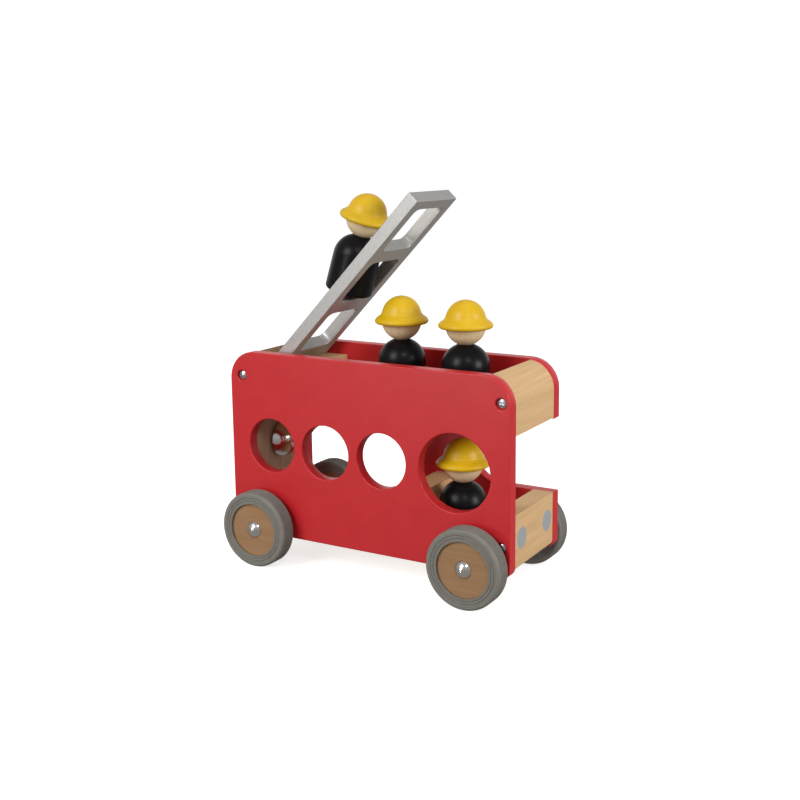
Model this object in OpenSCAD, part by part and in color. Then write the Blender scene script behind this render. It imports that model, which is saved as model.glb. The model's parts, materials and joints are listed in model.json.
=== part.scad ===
// Toy fire engine: two painted ply side panels joined by beech cross pieces, an upper deck,
// a hinged ladder, four free-running wheels, a bell, and four turned peg firefighters.
// Millimetres. +X is the front, +Y the left side, +Z up. The origin is on the ground, under the
// middle of the body.

/* [Body] */
// Length of the side panels, rear edge to front edge
body_l = 250; // [248:1:254]
// Width over the outer faces of the side panels
body_w = 87; // [86:0.2:92]
// Height of the side panels
panel_h = 148.6; // [148:0.1:154]
// Thickness of the side panels
panel_t = 9.7; // [8:0.1:10]
// Radius of the panels' top corners
top_r = 22.6; // [14:0.1:24]
// Radius of the panels' bottom corners
foot_r = 6; // [2:1:8]
// How far the cross pieces stand back from the panels' edges
inset = 0.5; // [0:0.1:1.5]

/* [Windows and openings] */
// Radius of the three small round windows
window_r = 21.7; // [18:0.1:22]
// Height of the small windows' centres above the panel's bottom edge
window_h = 74.2; // [70:0.1:78]
// Distance from the rear edge to the first window's centre
window_x = 39; // [38.8:0.1:41]
// Spacing of the small windows
window_pitch = 51.3; // [50:0.1:53]
// Radius of the cab window
cab_window_r = 29.9; // [25:0.1:30]
// Distance from the rear edge to the cab window's centre
cab_window_x = 204.3; // [202:0.1:207]
// Height of the cab window's centre above the panel's bottom edge
cab_window_h = 73.3; // [70:0.1:76]
// Front edge of the left panel's rear opening, from the rear edge
side_door_x = 125; // [110:1:130]
// Rear end of the left panel's cab opening, from the rear edge
cab_door_x = 177; // [175:0.5:179]
// Bottom of the left panel's cab opening, above its bottom edge
cab_door_sill = 45; // [44:0.1:45.3]
// Bottom of the left panel's rear opening, above its bottom edge
side_door_sill = 18.6; // [16:0.1:24]
// Top of both openings of the left panel, above its bottom edge
door_top = 103; // [98:0.5:103.5]

/* [Cross pieces] */
// Thickness of the rear wall, front to back
wall_t = 16.4; // [12:0.1:16.5]
// Depth of the upper front block
upper_block_d = 19.6; // [16:0.1:22]
// Bottom of the upper front block, above the panel's bottom edge
upper_block_h = 104; // [102:0.5:106]
// Depth of the lower front block
lower_block_d = 16.3; // [14:0.1:18]
// Bottom of the rear wall and the lower front block, above the panel's bottom edge
lower_block_h = 4.4; // [2:0.1:6]
// Top of the lower front block, above the panel's bottom edge
lower_block_top = 45.3; // [43:0.1:48]
// Top of the upper deck, above the panel's bottom edge
deck_top = 115.5; // [114:0.1:116]
// Thickness of the upper deck
deck_t = 9; // [6:0.5:9]
// Rear end of the floor, from the rear edge
floor_rear_x = 40.7; // [38:0.1:44]
// Front end of the floor, from the rear edge
floor_front_x = 212.6; // [211:0.1:214]
// Top of the floor, above the panel's bottom edge
floor_top = 9.9; // [8:0.1:10]
// Thickness of the floor
floor_t = 6; // [4:0.5:6]
// Rear face of the cab partition, from the rear edge
partition_x = 147.4; // [140:0.1:148]
// Thickness of the cab partition
partition_t = 19; // [14:0.5:20]
// Top of the cab partition, above the panel's bottom edge
partition_top = 48.6; // [44:0.1:54]
// Front face of the block under the ladder, from the rear edge
ladder_block_x = 61.9; // [50:0.1:63]
// Top of the block under the ladder, above the panel's bottom edge
ladder_block_top = 137.9; // [130:0.1:138]

/* [Wheels] */
// Outer radius of the tyres
tyre_r = 30.5; // [29:0.1:31]
// Width of the tyres
tyre_w = 14.7; // [13:0.1:15]
// Radius of the wood that the tyre leaves showing
rim_r = 21.4; // [20:0.1:22]
// Gap between the panel and the tyre
tyre_gap = 3.8; // [3:0.1:4.5]
// Height of the axles above the panels' bottom edge
axle_h = 7.8; // [7:0.1:9]
// Distance from the rear edge to the rear axle
rear_axle_x = 31.5; // [31:0.1:34]
// Distance from the rear edge to the front axle
front_axle_x = 220.5; // [219:0.1:221]
// Radius of the steel axles
axle_r = 2.5; // [2:0.1:3]
// Radius of the domed axle caps
cap_r = 6.9; // [6:0.1:7]

/* [Ladder] */
// Slope of the ladder above the horizontal, as raised
ladder_slope = 46.2; // [45.8:0.1:46.4]
// Length of the ladder from its hinge to its top end
ladder_l = 179.2; // [178.8:0.1:179.4]
// Width of the ladder
ladder_w = 60.5; // [60:0.5:64]
// Thickness of the ladder
ladder_t = 10.2; // [9.6:0.1:10.3]
// Width of the ladder's two rails
rail_w = 9.5; // [9:0.1:9.9]
// Length of one opening between two rungs
gap_l = 44; // [43.5:0.1:44.2]
// Width of a rung along the ladder
rung_l = 13.2; // [13:0.1:13.6]
// Length of the ladder's solid top end
head_l = 9; // [8.6:0.1:9.4]
// Distance from the rear edge to the ladder's hinge
hinge_x = 40.6; // [40.4:0.1:40.8]
// Height of the ladder's hinge above the panels' bottom edge
hinge_h = 143.3; // [143.3:0.1:143.6]

/* [Firefighters] */
// Height of a firefighter with helmet
crew_h = 80; // [79:0.5:81]
// Radius of a body at its foot
body_r = 18.8; // [17:0.1:18.9]
// Radius of the head
head_r = 15.5; // [14:0.1:15.5]
// Radius of the helmet's brim
brim_r = 20.9; // [19:0.1:21]
// Distance from the rear edge to the middle firefighter on the deck
middle_crew_x = 135.6; // [133:0.1:138]
// Distance from the rear edge to the front firefighter on the deck
front_crew_x = 191.7; // [188:0.1:205]
// Distance from the rear edge to the driver
driver_x = 191.7; // [188:0.1:194]
// Distance of the driver to the left of the middle
driver_y = -4.7; // [-10:0.1:10]
// Distance from the rear edge to the foot of the firefighter on the ladder
climber_x = 86.4; // [86.2:0.1:86.6]
// Height of the foot of the firefighter on the ladder, above the panels' bottom edge
climber_h = 196.5; // [196.3:0.1:196.8]
// Forward lean of the firefighter on the ladder
climber_lean = 17.1; // [17:0.1:17.2]

/* [Bell] */
// Radius of the bell's rim
bell_r = 16; // [14:0.1:16.5]
// Height of the bell's dome
bell_h = 11; // [9:0.5:12]
// Height of the bell's centre above the panels' bottom edge
bell_z = 68.3; // [65:0.1:71]

/* [Hidden] */

$fn = 96;
red = [0.74, 0.24, 0.25];
beech = [0.82, 0.67, 0.49];
pale_wood = [0.78, 0.65, 0.52];
tyre_grey = [0.45, 0.46, 0.44];
silver = [0.78, 0.77, 0.76];
steel = [0.75, 0.76, 0.78];
yellow = [0.89, 0.73, 0.12];
black = [0.11, 0.11, 0.12];

// How far a cut runs past the face it opens
past = 1;

// Heights and the body's own edges
panel_z = tyre_r - axle_h;
rear_x = -body_l / 2;
inner_w = body_w - 2 * panel_t;
inner_y = inner_w / 2;
outer_y = body_w / 2;

// Screws through the panels
screw_head_r = 3.7;
screw_head_h = 2;
screw_recess_r = 4.4;
screw_recess_d = 2.4;
screw_shank_r = 1.75;
screw_hole_r = 1.95;
screw_l = 24;
pilot_l = screw_l + screw_recess_d - panel_t;
rear_screw_x = 10.9;
front_screw_x = body_l - 7.6;
upper_screw_h = 128.8;
lower_screw_h = 22;

// Cross recess and crown of every screw head
recess_w = 1;
recess_l = 4.4;
recess_d = 1.1;
crown_ratio = 1.6;

// Openings of the left panel
door_round = 12;

// Axles and wheels
running_gap = 0.05;
lip_w = 2;
rim_seat_r = rim_r + 2.6;
wheel_play = 0.35;
spacer_r = 5.5;
cap_h = 3.6;
cap_dome_r = 1.15 * cap_r;
cap_bore_l = 2;
axle_half_l = outer_y + tyre_gap + tyre_w - lip_w + wheel_play + cap_bore_l;
tread_grooves = 6;
wall_rings = 3;
groove_r = 0.5;
tyre_shoulder = 2.5;

// Ladder
corner_r = 5;
hinge_r = 2;
hinge_depth = 5;

// Firefighter, heights above its foot
foot_round = 2.5;
shoulder_h = 29;
shoulder_flare = 0.6;
neck_h = 46;
neck_r = 7;
head_h = crew_h - 19.3;
brim_h = crew_h - 21.6;
brim_roll_r = 2.2;
brim_valley_h = 3.4;
brim_valley_in = 1.2;
dome_r = 15.5;
dome_h = crew_h - dome_r;
neck_peg_r = 4;
head_peg_r = 5;
peg_l = 8;

// Bell
bell_t = 1;
bell_gap = 2;
bell_post_r = 3;
bell_screw_r = 1.6;
bell_screw_hole_r = 1.7;
bell_screw_head_r = 3.2;
bell_screw_head_h = 1.8;
bell_screw_bite = 8;
bell_slack = 0.3;
bell_curve_r = (bell_r * bell_r + bell_h * bell_h) / (2 * bell_h);

// Points of an arc about [cx, cy], from angle a0 to a1 in n steps
function arc(cx, cy, r, a0, a1, n) =
  [for (i = [0:n]) [cx + r * cos(a0 + (a1 - a0) * i / n), cy + r * sin(a0 + (a1 - a0) * i / n)]];

// Moves from "distance from the rear edge, height above the panels' bottom edge" to the part's frame
module at(x, z, y = 0) {
  translate([rear_x + x, y, panel_z + z]) children();
}

// Stands a flat outline, drawn in rear-edge and bottom-edge coordinates, upright from y0 to y0 + t
module upright(y0, t) {
  at(0, 0, y0 + t) rotate([90, 0, 0]) linear_extrude(t) children();
}

// Rectangle with one radius for its lower corners and one for its upper corners
module soft_rect(x0, x1, z0, z1, rb, rt) {
  middle = (z0 + z1) / 2;
  translate([x0, z0 + rb]) square([x1 - x0, z1 - z0 - rb - rt]);
  translate([x0 + rb, z0]) square([x1 - x0 - 2 * rb, middle - z0]);
  translate([x0 + rt, middle]) square([x1 - x0 - 2 * rt, z1 - middle]);
  for (x = [x0 + rb, x1 - rb]) translate([x, z0 + rb]) circle(rb);
  for (x = [x0 + rt, x1 - rt]) translate([x, z1 - rt]) circle(rt);
}

module panel_outline() {
  soft_rect(0, body_l, 0, panel_h, foot_r, top_r);
}

// What the cross pieces may fill: the panel's outline, drawn in a little
module core_outline() {
  soft_rect(inset, body_l - inset, 2 * inset, panel_h - 2 * inset, foot_r, top_r - 2 * inset);
}

// A bar of radius r across the whole body, or between two sideways limits
module crossbar(x, z, r, ya = -body_w, yb = body_w) {
  at(x, z, min(ya, yb)) rotate([-90, 0, 0]) cylinder(h = abs(yb - ya), r = r);
}

// Axle bores, screw holes with their recesses, and the blind hole for the ladder's hinge rod
module panel_holes(side) {
  for (x = [rear_axle_x, front_axle_x]) crossbar(x, axle_h, axle_r);
  for (x = [rear_screw_x, front_screw_x], z = [lower_screw_h, upper_screw_h]) {
    crossbar(x, z, screw_hole_r);
    crossbar(x, z, screw_recess_r, side * (outer_y - screw_recess_d), side * body_w);
  }
  crossbar(hinge_x, hinge_h, hinge_r, 0, side * (inner_y + hinge_depth));
}

module right_side_panel() {
  color(red) difference() {
    upright(-outer_y, panel_t) panel_outline();
    for (i = [0:2]) crossbar(window_x + i * window_pitch, window_h, window_r, -body_w, 0);
    crossbar(cab_window_x, cab_window_h, cab_window_r, -body_w, 0);
    panel_holes(-1);
  }
}

// The left panel's cab opening, half round at the back and open at the front
module cab_opening() {
  r = (door_top - cab_door_sill) / 2;
  translate([cab_door_x + r, cab_door_sill + r]) circle(r);
  translate([cab_door_x + r, cab_door_sill]) square([body_l + past - cab_door_x - r, 2 * r]);
}

module left_side_panel() {
  color(red) difference() {
    upright(inner_y, panel_t) difference() {
      panel_outline();
      soft_rect(wall_t + inset, side_door_x, side_door_sill, door_top, door_round, door_round);
      cab_opening();
    }
    panel_holes(1);
  }
}

// A cross piece between the panels, from x0 to x1 and z0 to z1, kept inside the core outline
module cross_piece(x0, x1, z0, z1) {
  upright(-inner_y, inner_w) intersection() {
    translate([x0, z0]) square([x1 - x0, z1 - z0]);
    core_outline();
  }
}

// Pilot holes in both ends of a cross piece, for the screws at each of the heights zs
module screw_pilots(x, zs) {
  for (z = zs, side = [-1, 1])
    crossbar(x, z, screw_shank_r, side * (inner_y - pilot_l), side * body_w);
}

module rear_wall() {
  color(beech) difference() {
    cross_piece(0, wall_t + inset, lower_block_h, panel_h);
    screw_pilots(rear_screw_x, [lower_screw_h, upper_screw_h]);
    on_wall(-bell_screw_bite) cylinder(h = bell_screw_bite + past, r = bell_screw_r);
  }
}

module upper_front_block() {
  color(beech) difference() {
    cross_piece(body_l - inset - upper_block_d, body_l, upper_block_h, panel_h);
    screw_pilots(front_screw_x, [upper_screw_h]);
  }
}

module lower_front_block() {
  color(beech) difference() {
    cross_piece(body_l - inset - lower_block_d, body_l, lower_block_h, lower_block_top);
    screw_pilots(front_screw_x, [lower_screw_h]);
  }
}

module upper_deck() {
  deck_front = body_l - inset - upper_block_d;
  color(beech) cross_piece(wall_t + inset, deck_front, deck_top - deck_t, deck_top);
}

module floor_board() {
  color(beech) cross_piece(floor_rear_x, floor_front_x, floor_top - floor_t, floor_top);
}

module cab_partition() {
  color(beech) cross_piece(partition_x, partition_x + partition_t, floor_top, partition_top);
}

module ladder_block() {
  color(beech) cross_piece(wall_t + inset, ladder_block_x, deck_top, ladder_block_top);
}

// Pan-head screw with a cross recess, pointing along -Z, with its head's underside at z = 0
module cross_screw(pan_r, pan_h, shank_r, shank_l) {
  crown_r = crown_ratio * pan_r;
  difference() {
    union() {
      rotate_extrude() intersection() {
        square([pan_r, pan_h]);
        translate([0, pan_h - crown_r]) circle(crown_r);
      }
      translate([0, 0, -shank_l]) cylinder(h = shank_l + pan_h / 2, r = shank_r);
    }
    for (a = [0, 90]) rotate([0, 0, a])
      translate([-recess_l / 2, -recess_w / 2, pan_h - recess_d]) cube([recess_l, recess_w, pan_h]);
  }
}

module panel_screws() {
  color(steel) for (x = [rear_screw_x, front_screw_x], z = [lower_screw_h, upper_screw_h], side = [-1, 1])
    at(x, z, side * (outer_y - screw_recess_d)) rotate([-side * 90, 0, 0])
      cross_screw(screw_head_r, screw_head_h, screw_shank_r, screw_l);
}

// Places a child, built along +Z, at the bell's centre, offset from the rear wall's front face
module on_wall(offset) {
  at(wall_t + inset + offset, bell_z) rotate([0, 90, 0]) children();
}

module bell_dome() {
  centre = bell_h - bell_curve_r;
  color(steel) on_wall(bell_gap) difference() {
    rotate_extrude() intersection() {
      square([bell_r + past, bell_h + past]);
      difference() {
        translate([0, centre]) circle(bell_curve_r);
        translate([0, centre]) circle(bell_curve_r - bell_t);
      }
    }
    cylinder(h = bell_h + past, r = bell_screw_hole_r);
  }
}

module bell_post() {
  post_l = bell_gap + bell_h - bell_t - bell_slack;
  color(steel) on_wall(0) difference() {
    cylinder(h = post_l, r = bell_post_r);
    translate([0, 0, -past]) cylinder(h = post_l + 2 * past, r = bell_screw_hole_r);
  }
}

module bell_screw() {
  seat = bell_gap + bell_h;
  color(steel) on_wall(seat)
    cross_screw(bell_screw_head_r, bell_screw_head_h, bell_screw_r, seat + bell_screw_bite);
}

module axle(x) {
  color(steel) crossbar(x, axle_h, axle_r, -axle_half_l, axle_half_l);
}

// Places a child, built along +Z outwards from the panel's outer face, at a wheel
module at_wheel(x, side) {
  at(x, axle_h, side * outer_y) rotate([-side * 90, 0, 0]) children();
}

module each_wheel() {
  for (x = [rear_axle_x, front_axle_x], side = [-1, 1]) at_wheel(x, side) children();
}

module wheel_spacers() {
  spacer_l = tyre_gap + lip_w - wheel_play;
  color(steel) each_wheel() difference() {
    cylinder(h = spacer_l, r = spacer_r);
    translate([0, 0, -past]) cylinder(h = spacer_l + 2 * past, r = axle_r);
  }
}

module axle_caps() {
  color(steel) each_wheel() translate([0, 0, tyre_gap + tyre_w - lip_w + wheel_play]) difference() {
    rotate_extrude() intersection() {
      square([cap_r, cap_h]);
      translate([0, cap_h - cap_dome_r]) circle(cap_dome_r);
    }
    translate([0, 0, -past]) cylinder(h = cap_bore_l + past, r = axle_r);
  }
}

module wheel(x, side) {
  disc_t = tyre_w - 2 * lip_w;
  color(pale_wood) at_wheel(x, side) translate([0, 0, tyre_gap + lip_w]) difference() {
    cylinder(h = disc_t, r = rim_seat_r);
    translate([0, 0, -past]) cylinder(h = disc_t + 2 * past, r = axle_r + running_gap);
  }
}

// Half section of a tyre: ribbed side walls and a finely grooved tread
module tyre_section() {
  wall_r = tyre_r - tyre_shoulder;
  tread_w = tyre_w - 2 * tyre_shoulder;
  pitch = tread_w / tread_grooves;
  ring_step = (wall_r - rim_r) / wall_rings;
  difference() {
    union() {
      translate([rim_r, 0]) square([wall_r - rim_r, tyre_w]);
      translate([rim_r, tyre_shoulder]) square([tyre_r - rim_r, tread_w]);
      for (z = [tyre_shoulder, tyre_w - tyre_shoulder]) translate([wall_r, z]) circle(tyre_shoulder);
    }
    translate([0, lip_w]) square([rim_seat_r, tyre_w - 2 * lip_w]);
    for (i = [0:tread_grooves]) translate([tyre_r, tyre_shoulder + i * pitch]) circle(groove_r, $fn = 24);
    for (i = [1:wall_rings], z = [0, tyre_w])
      translate([rim_r + i * ring_step, z]) circle(groove_r, $fn = 24);
  }
}

module tyre(x, side) {
  color(tyre_grey) at_wheel(x, side) translate([0, 0, tyre_gap]) rotate_extrude() tyre_section();
}

// The ladder lies along +X from its hinge, then is turned up to its slope
module ladder() {
  half_t = ladder_t / 2;
  first = ladder_l - head_l - gap_l;
  color(silver) at(hinge_x, hinge_h) rotate([0, -ladder_slope, 0]) difference() {
    union() {
      translate([0, 0, -half_t]) linear_extrude(ladder_t) difference() {
        translate([0, -ladder_w / 2]) square([ladder_l, ladder_w]);
        for (i = [0:2]) translate([first - i * (gap_l + rung_l), rail_w - ladder_w / 2])
          soft_rect(0, gap_l, 0, ladder_w - 2 * rail_w, corner_r, corner_r);
      }
      rotate([90, 0, 0]) cylinder(h = ladder_w, r = half_t, center = true);
    }
    rotate([90, 0, 0]) cylinder(h = 2 * ladder_w, r = hinge_r + running_gap, center = true);
  }
}

module ladder_hinge_rod() {
  reach = inner_y + hinge_depth;
  color(steel) crossbar(hinge_x, hinge_h, hinge_r, -reach, reach);
}

module crew_body() {
  dome_arc = arc(shoulder_flare, shoulder_h, body_r - 0.8, 0, 90, 20);
  profile = concat(
    [[0, 0]],
    arc(body_r - foot_round, foot_round, foot_round, -90, 0, 5),
    [for (p = dome_arc) if (p[1] < neck_h && p[0] > neck_r) p],
    [[neck_r, neck_h], [0, neck_h]]
  );
  color(black) difference() {
    rotate_extrude() polygon(profile);
    translate([0, 0, neck_h - peg_l]) cylinder(h = peg_l + past, r = neck_peg_r);
  }
}

module crew_head() {
  color(beech) {
    intersection() {
      translate([0, 0, head_h]) sphere(head_r);
      translate([0, 0, neck_h]) cylinder(h = brim_h - neck_h, r = 2 * head_r);
    }
    translate([0, 0, neck_h - peg_l]) cylinder(h = peg_l + past, r = neck_peg_r);
    translate([0, 0, brim_h - past]) cylinder(h = peg_l + past, r = head_peg_r);
  }
}

module crew_helmet() {
  roll_x = brim_r - brim_roll_r;
  roll_z = brim_h + brim_roll_r;
  profile = concat(
    [[0, brim_h], [roll_x, brim_h]],
    arc(roll_x, roll_z, brim_roll_r, -75, 60, 8),
    [[roll_x - brim_valley_in, roll_z + brim_valley_h]],
    arc(0, dome_h, dome_r, 8, 90, 14)
  );
  color(yellow) difference() {
    rotate_extrude() polygon(profile);
    translate([0, 0, brim_h - past]) cylinder(h = peg_l + past, r = head_peg_r);
  }
}

// Places of the four firefighters
module at_climber() {
  at(climber_x, climber_h) rotate([0, climber_lean, 0]) children();
}

module on_deck(x) {
  at(x, deck_top) children();
}

module at_driver() {
  at(driver_x, floor_top, driver_y) children();
}

right_side_panel();
left_side_panel();
rear_wall();
upper_front_block();
lower_front_block();
upper_deck();
floor_board();
cab_partition();
ladder_block();
panel_screws();
bell_dome();
bell_post();
bell_screw();
axle(rear_axle_x);  // rear_axle
axle(front_axle_x);  // front_axle
wheel_spacers();
axle_caps();
wheel(rear_axle_x, -1);  // rear_right_wheel
wheel(rear_axle_x, 1);  // rear_left_wheel
wheel(front_axle_x, -1);  // front_right_wheel
wheel(front_axle_x, 1);  // front_left_wheel
tyre(rear_axle_x, -1);  // rear_right_tyre
tyre(rear_axle_x, 1);  // rear_left_tyre
tyre(front_axle_x, -1);  // front_right_tyre
tyre(front_axle_x, 1);  // front_left_tyre
ladder();
ladder_hinge_rod();
at_climber() crew_body();  // climber_body
at_climber() crew_head();  // climber_head
at_climber() crew_helmet();  // climber_helmet
on_deck(middle_crew_x) crew_body();  // middle_crew_body
on_deck(middle_crew_x) crew_head();  // middle_crew_head
on_deck(middle_crew_x) crew_helmet();  // middle_crew_helmet
on_deck(front_crew_x) crew_body();  // front_crew_body
on_deck(front_crew_x) crew_head();  // front_crew_head
on_deck(front_crew_x) crew_helmet();  // front_crew_helmet
at_driver() crew_body();  // driver_body
at_driver() crew_head();  // driver_head
at_driver() crew_helmet();  // driver_helmet
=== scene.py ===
"""Looks of the wooden toy fire engine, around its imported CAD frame.

Everything stands in the CAD's frame, in metres. Outlines and the sizes below are in millimetres.
"""

import json
import math

import bmesh
import bpy
from mathutils import Matrix, Vector


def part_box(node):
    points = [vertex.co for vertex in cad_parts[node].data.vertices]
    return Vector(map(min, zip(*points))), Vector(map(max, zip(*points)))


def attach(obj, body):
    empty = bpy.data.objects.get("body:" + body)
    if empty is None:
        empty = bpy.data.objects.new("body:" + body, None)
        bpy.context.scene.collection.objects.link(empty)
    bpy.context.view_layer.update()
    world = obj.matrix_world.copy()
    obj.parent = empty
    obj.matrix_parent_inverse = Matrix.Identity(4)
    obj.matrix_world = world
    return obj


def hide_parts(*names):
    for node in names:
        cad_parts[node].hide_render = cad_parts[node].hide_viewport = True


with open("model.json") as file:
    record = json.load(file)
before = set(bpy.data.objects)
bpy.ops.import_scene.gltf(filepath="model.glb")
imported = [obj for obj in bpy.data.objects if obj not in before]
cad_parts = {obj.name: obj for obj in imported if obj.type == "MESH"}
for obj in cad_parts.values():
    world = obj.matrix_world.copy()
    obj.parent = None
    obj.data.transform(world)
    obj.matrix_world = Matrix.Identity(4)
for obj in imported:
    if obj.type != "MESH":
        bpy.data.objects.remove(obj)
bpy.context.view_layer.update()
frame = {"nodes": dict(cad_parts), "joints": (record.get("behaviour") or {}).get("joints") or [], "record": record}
nodes = frame["nodes"]
joints = {j["name"]: j for j in frame["joints"]}
MM = 0.001

WHEELS = ("rear_right", "rear_left", "front_right", "front_left")
CREW = ("climber", "middle_crew", "front_crew", "driver")


def span(node, axis):
    """Size of a CAD node along an axis, in millimetres."""
    low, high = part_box(node)
    return (high[axis] - low[axis]) / MM


# Wheels: outer radius and width of a tyre, and the radius of the wood that it leaves showing
TYRE_R, TYRE_W = span("rear_right_tyre", 2) / 2, span("rear_right_tyre", 1)
RUBBER_H = 9.1
RIM_R = TYRE_R - RUBBER_H

# Firefighters: heights are above the foot
BODY_R, BRIM_R = span("driver_body", 1) / 2, span("driver_helmet", 1) / 2
NECK_H, HEAD_R = span("driver_body", 2), 15.5
CREW_H = (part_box("driver_helmet")[1].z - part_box("driver_body")[0].z) / MM
CLIMBER_LEAN = math.radians(17.1)

# Thickness of the ladder, and how far the sawn edges are eased
LADDER_T = 10.2
EASED_EDGE = 0.7

# The painted headlights: radius, and centres as (y, z)
LAMP_R = 8.2
LAMPS = ((-22.3, 48.3), (22.9, 48.3))

# Where the camera stands: turned from straight beside the right panel towards the front
AZIMUTH = math.radians(29.99)


# ---------------------------------------------------------------- camera, lights and floor

def make_camera():
    """Looks at the toy from its front right corner, slightly from above."""
    elevation, roll = math.radians(9.68), math.radians(-0.49)
    target, distance = Vector((0.0275, 0, 0.1783)), 0.8898
    back = Vector((math.sin(AZIMUTH) * math.cos(elevation),
                   -math.cos(AZIMUTH) * math.cos(elevation), math.sin(elevation)))
    right = Vector((math.cos(AZIMUTH), math.sin(AZIMUTH), 0))
    up = back.cross(right)
    tilted_right = math.cos(roll) * right + math.sin(roll) * up
    tilted_up = math.cos(roll) * up - math.sin(roll) * right
    camera = bpy.data.objects.new("camera", bpy.data.cameras.new("camera"))
    bpy.context.scene.collection.objects.link(camera)
    turn = Matrix((tilted_right, tilted_up, back)).transposed().to_4x4()
    camera.matrix_world = Matrix.Translation(target + back * distance) @ turn
    camera.data.lens = 51.86
    camera.data.sensor_width = 36
    camera.data.shift_x = -0.026
    camera.data.shift_y = -0.065
    bpy.context.scene.camera = camera


def area_light(name, place, target, size, power):
    """A rectangular softbox at place, facing target."""
    light = bpy.data.lights.new(name, "AREA")
    light.shape = "RECTANGLE"
    light.size, light.size_y = size
    light.energy = power
    lamp = bpy.data.objects.new(name, light)
    lamp.location = place
    lamp.rotation_euler = (Vector(target) - Vector(place)).to_track_quat("-Z", "Y").to_euler()
    bpy.context.scene.collection.objects.link(lamp)


def make_world():
    """A white backdrop behind the toy, as the camera sees it, and a half-dark studio on the other side."""
    world = bpy.data.worlds.new("studio")
    world.use_nodes = True
    tree = world.node_tree

    def ramp(value, stops):
        """Colour that follows value through stops of (position, colour). The first one is at 0."""
        node = tree.nodes.new("ShaderNodeValToRGB")
        node.color_ramp.elements.remove(node.color_ramp.elements[1])
        for position, color in stops:
            stop = node.color_ramp.elements.new(position) if position else node.color_ramp.elements[0]
            stop.color = (*color, 1)
        tree.links.new(value, node.inputs[0])
        return node.outputs[0]

    place = tree.nodes.new("ShaderNodeTexCoord").outputs["Generated"]
    height = tree.nodes.new("ShaderNodeSeparateXYZ")
    tree.links.new(place, height.inputs[0])
    behind = tree.nodes.new("ShaderNodeVectorMath")
    behind.operation = "DOT_PRODUCT"
    tree.links.new(place, behind.inputs[0])
    behind.inputs[1].default_value = (-math.sin(AZIMUTH), math.cos(AZIMUTH), 0)
    rise = tree.nodes.new("ShaderNodeMapRange")
    rise.inputs["From Min"].default_value = -1
    tree.links.new(height.outputs["Z"], rise.inputs["Value"])
    none, full = (0, 0, 0), (1, 1, 1)
    white, dim, low = (1.02, 1.02, 1.02), (0.36, 0.36, 0.37), (0.26, 0.25, 0.24)
    backdrop = ramp(rise.outputs[0],
                    ((0.0, low), (0.475, low), (0.49, white), (0.62, white), (0.72, dim)))
    studio = ramp(rise.outputs[0], ((0.0, low), (0.46, low), (0.60, dim)))
    share = ramp(behind.outputs["Value"], ((0.0, none), (0.40, none), (0.75, full)))
    mix = tree.nodes.new("ShaderNodeMix")
    mix.data_type = "RGBA"
    tree.links.new(share, mix.inputs["Factor"])
    tree.links.new(studio, mix.inputs[6])
    tree.links.new(backdrop, mix.inputs[7])
    tree.links.new(mix.outputs[2], tree.nodes["Background"].inputs["Color"])
    bpy.context.scene.world = world


def make_floor():
    """A white sheet that glows a little, so that only soft shadows show on it."""
    mesh = bpy.data.meshes.new("floor")
    half = 30
    corners = [(-half, -half, 0), (half, -half, 0), (half, half, 0), (-half, half, 0)]
    mesh.from_pydata(corners, [], [(0, 1, 2, 3)])
    floor = bpy.data.objects.new("floor", mesh)
    bpy.context.scene.collection.objects.link(floor)
    sheet = Surface("floor_sheet", (0.8, 0.8, 0.8), Roughness=0.9, Specular_IOR_Level=0.1,
                    Emission_Color=(1, 1, 1, 1), Emission_Strength=0.7)
    floor.data.materials.append(sheet.material)
    floor.visible_diffuse = False
    floor.visible_glossy = False


def make_studio():
    """The world, the floor and five softboxes, most of them on the camera's side."""
    make_world()
    make_floor()
    middle = (0, 0, 0.13)
    area_light("key_softbox", (-0.45, -1.35, 0.95), middle, (0.7, 0.7), 14.5)
    area_light("high_softbox", (1.0, -1.05, 1.35), middle, (0.45, 0.45), 5.5)
    area_light("front_softbox", (1.6, 0.05, 0.55), middle, (0.6, 0.6), 15.5)
    area_light("low_softbox", (-0.55, -1.45, 0.12), middle, (0.35, 0.3), 3.2)
    area_light("top_softbox", (0.1, 0.25, 1.6), middle, (0.9, 0.7), 1.5)


# ---------------------------------------------------------------- materials

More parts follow.
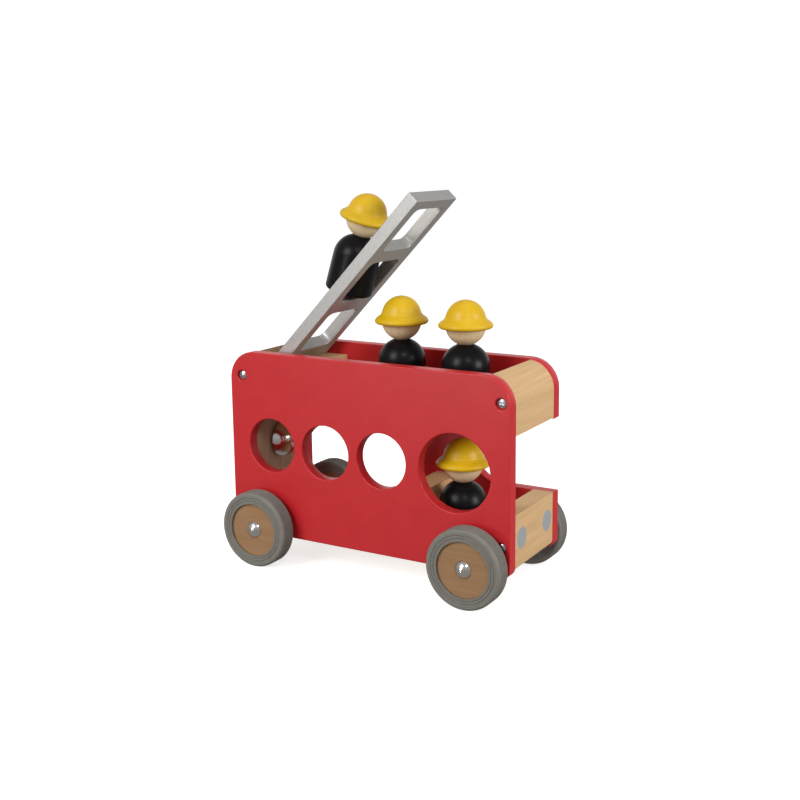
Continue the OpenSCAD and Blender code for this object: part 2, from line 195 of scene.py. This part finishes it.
class Surface:
    """A Principled material, and short ways to add nodes to it.

    Keyword arguments set the shader's own sockets, with _ for each space in a socket's name.
    """

    def __init__(self, name, color, **sockets):
        self.material = bpy.data.materials.new(name)
        self.material.use_nodes = True
        self.tree = self.material.node_tree
        self.shader = self.tree.nodes["Principled BSDF"]
        self.shader.inputs["Base Color"].default_value = (*color, 1)
        for socket, value in sockets.items():
            self.shader.inputs[socket.replace("_", " ")].default_value = value
        self.place = self.add("ShaderNodeTexCoord").outputs["Object"]

    def add(self, kind, **inputs):
        """A new node, each of its named inputs set to a value or linked to another node's output."""
        node = self.tree.nodes.new(kind)
        for name, value in inputs.items():
            self.feed(node.inputs[name.replace("_", " ")], value)
        return node

    def feed(self, socket, value):
        """Links socket to another node's output, or sets it to a plain value."""
        if isinstance(value, bpy.types.NodeSocket):
            self.tree.links.new(value, socket)
        else:
            socket.default_value = value

    def scaled(self, scale, turn=(0, 0, 0), shift=(0, 0, 0)):
        """Object coordinates, turned, then scaled by a number of features per metre on each axis."""
        turned = self.add("ShaderNodeMapping", Vector=self.place, Rotation=turn, Location=shift)
        return self.add("ShaderNodeMapping", Vector=turned.outputs[0], Scale=scale).outputs[0]

    def noise(self, where, detail, distortion=0.0):
        node = self.add("ShaderNodeTexNoise", Vector=where, Scale=1.0, Detail=detail, Distortion=distortion)
        return node.outputs["Fac"]

    def remap(self, value, low, high, to_low=0.0, to_high=1.0):
        """Value, with low to high stretched to run from to_low to to_high and held outside that."""
        node = self.add("ShaderNodeMapRange")
        for socket, given in zip(node.inputs, (value, low, high, to_low, to_high)):
            self.feed(socket, given)
        return node.outputs[0]

    def math(self, operation, a, b=0.0):
        node = self.tree.nodes.new("ShaderNodeMath")
        node.operation = operation
        self.feed(node.inputs[0], a)
        self.feed(node.inputs[1], b)
        return node.outputs[0]

    def blend(self, share, a, b):
        """Colour a where share is 0, colour b where it is 1."""
        node = self.tree.nodes.new("ShaderNodeMix")
        node.data_type = "RGBA"
        self.feed(node.inputs["Factor"], share)
        self.feed(node.inputs[6], (*a, 1) if isinstance(a, tuple) else a)
        self.feed(node.inputs[7], (*b, 1) if isinstance(b, tuple) else b)
        return node.outputs[2]

    def color(self, value):
        self.feed(self.shader.inputs["Base Color"], value)

    def roughness(self, value):
        self.feed(self.shader.inputs["Roughness"], value)

    def bump(self, height, depth):
        """Bumps the surface by height times depth, in metres. Later calls add to earlier ones."""
        node = self.add("ShaderNodeBump", Height=height, Strength=1.0, Distance=depth)
        before = self.shader.inputs["Normal"].links
        if before:
            self.tree.links.new(before[0].from_socket, node.inputs["Normal"])
        self.feed(self.shader.inputs["Normal"], node.outputs[0])


def along(axis, fine, coarse):
    """Features per metre on each axis: coarse along the grain, fine across it."""
    return tuple(coarse if a == axis else fine for a in "XYZ")


def bare_wood(name, pale, dark, axis, rough=0.55, flecked=0.3, lamps=False):
    """Sanded wood: broad bands, fine fibres and short darker flecks along the grain's axis."""
    s = Surface(name, pale, Roughness=rough, Specular_IOR_Level=0.3)
    bands = s.noise(s.scaled(along(axis, 170, 9)), 3, 1.5)
    fibres = s.noise(s.scaled(along(axis, 2600, 60)), 4, 0.3)
    flecks = s.remap(s.noise(s.scaled(along(axis, 1500, 330), shift=(0.3, 0.1, 0.7)), 1), 0.66, 0.74)
    color = s.blend(s.remap(bands, 0.3, 0.72), pale, dark)
    color = s.blend(s.remap(fibres, 0.35, 0.75, 0, 0.35), color, dark)
    color = s.blend(s.math("MULTIPLY", flecks, flecked), color, tuple(0.5 * c for c in dark))
    if lamps:
        lamp_paint = s.blend(s.remap(fibres, 0.3, 0.7), (0.36, 0.375, 0.385), (0.31, 0.325, 0.335))
        color = s.blend(lamp_dots(s), color, lamp_paint)
    s.color(color)
    s.roughness(s.remap(fibres, 0.3, 0.7, rough - 0.08, rough + 0.1))
    s.bump(fibres, 0.00005)
    return s.material


def lamp_dots(s):
    """1 inside the two round headlights painted on the lower block's front face, 0 elsewhere."""
    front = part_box("lower_front_block")[1].x
    soft_rim, skin = 0.12, 1.5
    parts = s.add("ShaderNodeSeparateXYZ", Vector=s.place)
    lamps = 0.0
    for y, z in LAMPS:
        across = s.math("SUBTRACT", parts.outputs[1], y * MM)
        up = s.math("SUBTRACT", parts.outputs[2], z * MM)
        squares = s.math("ADD", s.math("MULTIPLY", across, across), s.math("MULTIPLY", up, up))
        inside = s.remap(s.math("SQRT", squares), (LAMP_R + soft_rim) * MM, (LAMP_R - soft_rim) * MM)
        lamps = s.math("MAXIMUM", lamps, inside)
    return s.math("MULTIPLY", lamps, s.math("GREATER_THAN", parts.outputs[0], front - skin * MM))


def painted_wood(name, tone, axis, rough, depth, shade, **sockets):
    """Paint over wood whose grain still shows faintly, with the slight mottle of a sprayed coat.

    Axis is the way the grain runs, depth how deep it is in metres, and shade how much it darkens the tone.
    """
    s = Surface(name, tone, Roughness=rough, **sockets)
    fibres = s.noise(s.scaled(along(axis, 1300, 45)), 4, 0.4)
    streaks = s.noise(s.scaled(along(axis, 420, 14), shift=(0.2, 0.5, 0.1)), 2, 0.6)
    mottle = s.noise(s.scaled((60, 60, 60)), 2)
    darker = tuple(shade * c for c in tone)
    paler = tuple(1.15 * c + 0.01 for c in tone)
    color = s.blend(s.remap(fibres, 0.3, 0.75, 0, 0.8), tone, darker)
    color = s.blend(s.remap(streaks, 0.35, 0.7, 0, 0.5), color, darker)
    color = s.blend(s.remap(mottle, 0.3, 0.7, 0, 0.25), color, paler)
    s.color(color)
    s.roughness(s.remap(fibres, 0.3, 0.7, rough - 0.05, rough + 0.08))
    s.bump(fibres, depth)
    s.bump(s.noise(s.scaled((900, 900, 900)), 1), depth * 0.3)
    return s.material


def make_materials():
    """Every material by name: the record's slots, and for beech one for each way the grain runs. The upright one
    is darker and greyer: painted shade on the rear wall.
    """
    beech, beech_dark = (0.70, 0.46, 0.235), (0.60, 0.375, 0.18)
    # painted shade: the upright beech of the rear wall is darker and greyer than the other beech, for the shade
    # that wall stands in
    shaded_beech, shaded_beech_dark = (0.50, 0.36, 0.235), (0.38, 0.26, 0.16)
    head, head_dark = (0.84, 0.66, 0.42), (0.74, 0.57, 0.33)
    disc, disc_dark = (0.36, 0.205, 0.10), (0.30, 0.165, 0.08)
    return {
        "red_paint": painted_wood("red_paint", (0.56, 0.016, 0.021), "X", 0.36, 0.00003, 0.93,
                                  Specular_IOR_Level=0.45),
        "silver_paint": silver_paint(ladder_slope()),
        "black_paint": painted_wood("black_paint", (0.004, 0.004, 0.005), "Z", 0.32, 0.00004, 0.7,
                                    Specular_IOR_Level=0.15),
        "yellow_paint": painted_wood("yellow_paint", (0.68, 0.42, 0.005), "Z", 0.38, 0.00002, 0.92,
                                     Specular_IOR_Level=0.35),
        "head_wood": bare_wood("head_wood", head, head_dark, "Z", rough=0.42, flecked=0.2),
        "wheel_wood": bare_wood("wheel_wood", disc, disc_dark, "X", rough=0.5, flecked=0.15),
        "tyre": rubber(),
        "chrome": metal("chrome", (0.80, 0.78, 0.75), 0.15, 0.04),
        "steel": metal("steel", (0.56, 0.57, 0.60), 0.24, 0.10),
        "beech_across": bare_wood("beech_across", beech, beech_dark, "Y"),
        "beech_along": bare_wood("beech_along", beech, beech_dark, "X"),
        "shaded_beech_upright": bare_wood("shaded_beech_upright", shaded_beech, shaded_beech_dark, "Z"),
        "beech_with_lamps": bare_wood("beech_with_lamps", beech, beech_dark, "Y", lamps=True),
    }


def ladder_slope():
    """Angle of the ladder above the horizontal: its middle line runs from the hinge to the top end."""
    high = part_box("ladder")[1]
    hinge = Vector(joints["ladder_tilt"]["pos_m"])
    # how far the corner of the end stands out from the middle line, at about 45 degrees
    edge = LADDER_T * MM / 2 * math.sqrt(0.5)
    return math.atan2(high.z - hinge.z - edge, high.x - hinge.x - edge)


def silver_paint(slope):
    """Metallic paint on plywood: sparkling flakes, and a coarse grain that the paint has not filled."""
    s = Surface("silver_paint", (0.60, 0.59, 0.57), Metallic=0.6, Roughness=0.42)
    grain = s.noise(s.scaled(along("X", 1700, 420), (0, slope, 0)), 3, 0.3)
    flakes = s.noise(s.scaled((2100, 2100, 2100)), 1)
    tone = s.blend(s.remap(flakes, 0.3, 0.7), (0.41, 0.40, 0.385), (0.57, 0.56, 0.545))
    s.color(s.blend(s.remap(grain, 0.35, 0.7, 0, 0.35), tone, (0.34, 0.33, 0.315)))
    s.roughness(s.remap(flakes, 0.3, 0.7, 0.34, 0.52))
    s.bump(grain, 0.00008)
    s.bump(flakes, 0.00004)
    return s.material


def rubber():
    """Grey tyre rubber, matt, with a dusty bloom."""
    s = Surface("rubber", (0.165, 0.158, 0.14), Roughness=0.7, Specular_IOR_Level=0.35)
    dust = s.noise(s.scaled((220, 220, 220)), 4)
    pores = s.noise(s.scaled((3000, 3000, 3000)), 2)
    s.color(s.blend(s.remap(dust, 0.3, 0.75), (0.176, 0.166, 0.146), (0.206, 0.195, 0.172)))
    s.roughness(s.remap(pores, 0.3, 0.7, 0.6, 0.8))
    s.bump(pores, 0.00003)
    return s.material


def metal(name, color, rough, spread):
    """Plated metal with fine polishing marks, whose roughness varies by spread."""
    s = Surface(name, color, Metallic=1.0, Roughness=rough)
    marks = s.noise(s.scaled((1800, 1800, 1800)), 3)
    s.roughness(s.remap(marks, 0.3, 0.7, rough, rough + spread))
    s.bump(marks, 0.000003)
    return s.material


def paint(obj, material):
    """Gives an object one material."""
    obj.data.materials.clear()
    obj.data.materials.append(material)


def dress_nodes(made):
    """Gives every CAD node its material: the slot's own, or for beech the one whose grain runs its way."""
    # the rear wall's upright beech carries painted shade as well as its grain direction
    grain = {"rear_wall": "shaded_beech_upright", "upper_front_block": "beech_across",
             "lower_front_block": "beech_with_lamps", "ladder_block": "beech_across",
             "cab_partition": "beech_across", "upper_deck": "beech_along", "floor_board": "beech_along"}
    for part in frame["record"]["subparts"]:
        name, slot = part["node"], part["material_slot"]
        paint(nodes[name], made[grain.get(name, slot)])


def soften_edges(name, width):
    """Eases a sawn piece's edges, as sanding does, by modifiers. The CAD mesh itself stays as it is."""
    obj = nodes[name]
    weld = obj.modifiers.new("weld", "WELD")
    weld.merge_threshold = 0.00001
    flat = obj.modifiers.new("flat", "DECIMATE")
    flat.decimate_type = "DISSOLVE"
    flat.angle_limit = math.radians(0.2)
    bevel = obj.modifiers.new("bevel", "BEVEL")
    bevel.width = width
    bevel.segments = 3
    bevel.limit_method = "ANGLE"
    bevel.angle_limit = math.radians(50)
    bevel.use_clamp_overlap = False
    bevel.loop_slide = False
    bevel.harden_normals = True


# ---------------------------------------------------------------- turned pieces

def arc(centre_r, centre_z, radius, start, end, steps):
    """Points of an arc in a half section, from one angle in degrees to another."""
    angles = [math.radians(start + (end - start) * i / steps) for i in range(steps + 1)]
    return [(centre_r + radius * math.cos(a), centre_z + radius * math.sin(a)) for a in angles]


def smooth_curve(points, steps):
    """A soft curve through points, a Catmull-Rom spline."""
    padded = [points[0], *points, points[-1]]
    curve = []
    for a, b, c, d in zip(padded, padded[1:], padded[2:], padded[3:]):
        for i in range(steps):
            t = i / steps
            curve.append(tuple(0.5 * (2 * q + (r - p) * t + (2 * p - 5 * q + 4 * r - s) * t * t
                                      + (3 * q - p - 3 * r + s) * t ** 3)
                               for p, q, r, s in zip(a, b, c, d)))
    return curve + [points[-1]]


def lathe(name, outline, closed=False, segments=96):
    """A turned piece about Z. The outline holds (radius, height); a closed one makes a ring."""
    bm = bmesh.new()
    rings = []
    for radius, height in outline:
        if radius < 0.001:
            rings.append([bm.verts.new((0, 0, height * MM))] * segments)
            continue
        turns = [2 * math.pi * i / segments for i in range(segments)]
        rings.append([bm.verts.new((radius * MM * math.cos(t), radius * MM * math.sin(t), height * MM))
                      for t in turns])
    pairs = list(zip(rings, rings[1:]))
    if closed:
        pairs.append((rings[-1], rings[0]))
    for low, high in pairs:
        for i in range(segments):
            j = (i + 1) % segments
            corners = list(dict.fromkeys((low[i], low[j], high[j], high[i])))
            bm.faces.new(corners)
    bmesh.ops.recalc_face_normals(bm, faces=bm.faces)
    mesh = bpy.data.meshes.new(name)
    bm.to_mesh(mesh)
    bm.free()
    mesh.shade_smooth()
    obj = bpy.data.objects.new(name, mesh)
    bpy.context.scene.collection.objects.link(obj)
    return obj


def body_outline():
    """Peg body: eased foot, side drawn in very slightly, and round shoulders up to the neck."""
    foot_round, shoulder_h, shoulder_out, neck_r, steps = 2.5, 29, 0.6, 6.8, 8
    foot = arc(BODY_R - foot_round, foot_round, foot_round, -90, 0, steps)
    rise = shoulder_h - foot_round
    side = [(BODY_R - 0.02 * i, foot_round + i * rise / steps) for i in range(1, steps)]
    round_off = arc(shoulder_out, shoulder_h, BODY_R - 0.8, 0, 90, 40)
    shoulders = [(r, h) for r, h in round_off if r > neck_r + 0.6]
    return [(0, 0), (6, 0), (12, 0), *foot, *side, *shoulders, (neck_r, NECK_H), (4, NECK_H), (0, NECK_H)]


def head_outline():
    """Ball that sits on the neck and goes up into the helmet."""
    centre_h, crown_h = CREW_H - 19.3, CREW_H - 16
    ball = arc(0, centre_h, HEAD_R, -72, 12, 40)
    return [(0, NECK_H), (2.5, NECK_H), *ball, (8, crown_h), (0, crown_h)]


def helmet_outline():
    """Round crown flaring into a thick rolled brim, with a hollow underside."""
    top, dome_r, roll_r = CREW_H, 15.5, 2.2
    crown = arc(0, top - dome_r, dome_r, 90, 12, 30)
    flare = smooth_curve([(15.3, top - 12.4), (16.1, top - 14.2), (17.7, top - 15.7), (19.3, top - 16.8),
                          (20.4, top - 18.0)], 5)
    lip = arc(BRIM_R - roll_r, top - 19.4, roll_r, 25, -100, 14)
    under = [(17.2, top - 21.4), (16.2, top - 20.6), (15.7, top - 19.0), (15.2, top - 17.0),
             (8, top - 16.5), (0, top - 16.5)]
    return [*crown, *flare, *lip, *under]


def climber_foot(turn):
    """Middle of the leaning climber's foot: where a standing body, turned, has the climber's box."""
    low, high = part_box("middle_crew_body")
    centre = Vector(((low.x + high.x) / 2, (low.y + high.y) / 2, low.z))
    turned = [turn @ (v.co - centre) for v in nodes["middle_crew_body"].data.vertices]
    reach = Vector([min(c[i] for c in turned) for i in range(3)])
    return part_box("climber_body")[0] - reach


def make_crew(made):
    """A turned body, head and helmet for each firefighter, standing where its CAD pieces stand."""
    outlines = (("body", body_outline, "black_paint"), ("head", head_outline, "head_wood"),
                ("helmet", helmet_outline, "yellow_paint"))
    for crew in CREW:
        low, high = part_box(crew + "_body")
        turn = Matrix.Identity(4)
        foot = Vector(((low.x + high.x) / 2, (low.y + high.y) / 2, low.z))
        if crew == "climber":
            turn = Matrix.Rotation(CLIMBER_LEAN, 4, "Y")
            foot = climber_foot(turn)
        for part, outline, slot in outlines:
            obj = lathe(f"{crew}_turned_{part}", outline())
            obj.data.transform(Matrix.Translation(foot) @ turn)
            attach(obj, crew)
            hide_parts(f"{crew}_{part}")
            paint(obj, made[slot])


def tyre_outline():
    """Section of a tyre as (radius, place across): ribbed side walls and a finely grooved tread."""
    half, shoulder_r = TYRE_W / 2, 2.5
    wall_r = TYRE_R - shoulder_r
    rings, ring_depth, ring_steps, plain_steps = 3, 0.5, 56, 3
    grooves, groove_depth, groove_steps = 6, 0.9, 84
    lip, seat_r = 2.0, RIM_R + 2.55

    outer = []
    for i in range(ring_steps + 1):
        wave = math.cos(2 * math.pi * rings * i / ring_steps)
        ribbed = plain_steps < i < ring_steps - plain_steps
        dip = ring_depth * max(0.0, wave) ** 1.5 if ribbed else 0.0
        outer.append((RIM_R + (wall_r - RIM_R) * i / ring_steps, half - dip))

    shoulder = arc(wall_r, half - shoulder_r, shoulder_r, 90, 15, 10)
    tread = []
    for i in range(groove_steps + 1):
        wave = math.cos(2 * math.pi * (grooves + 0.5) * (i / groove_steps - 0.5))
        across = (half - lip) * (1 - 2 * i / groove_steps)
        tread.append((TYRE_R - 0.05 - groove_depth * max(0.0, -wave), across))

    inner = [(r, -across) for r, across in reversed(outer)]
    far_shoulder = [(r, -across) for r, across in reversed(shoulder)]
    seat = [(RIM_R, lip - half), (seat_r, lip - half), (seat_r, half - lip), (RIM_R, half - lip)]
    return [*outer, *shoulder, *tread, *far_shoulder, *inner, *seat]


def make_tyres(made):
    """A ribbed tyre in place of each plain one."""
    for wheel in WHEELS:
        obj = lathe(f"{wheel}_ribbed_tyre", tyre_outline(), closed=True, segments=144)
        low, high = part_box(wheel + "_tyre")
        turn = Matrix.Rotation(math.radians(90), 4, "X")
        obj.data.transform(Matrix.Translation((low + high) / 2) @ turn)
        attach(obj, wheel + "_wheel_body")
        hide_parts(wheel + "_tyre")
        paint(obj, made["tyre"])


make_camera()
made = make_materials()
make_studio()
dress_nodes(made)
make_crew(made)
make_tyres(made)
for name in ("right_side_panel", "left_side_panel", "ladder"):
    soften_edges(name, EASED_EDGE * MM)

bpy.context.scene.view_settings.view_transform = "Standard"
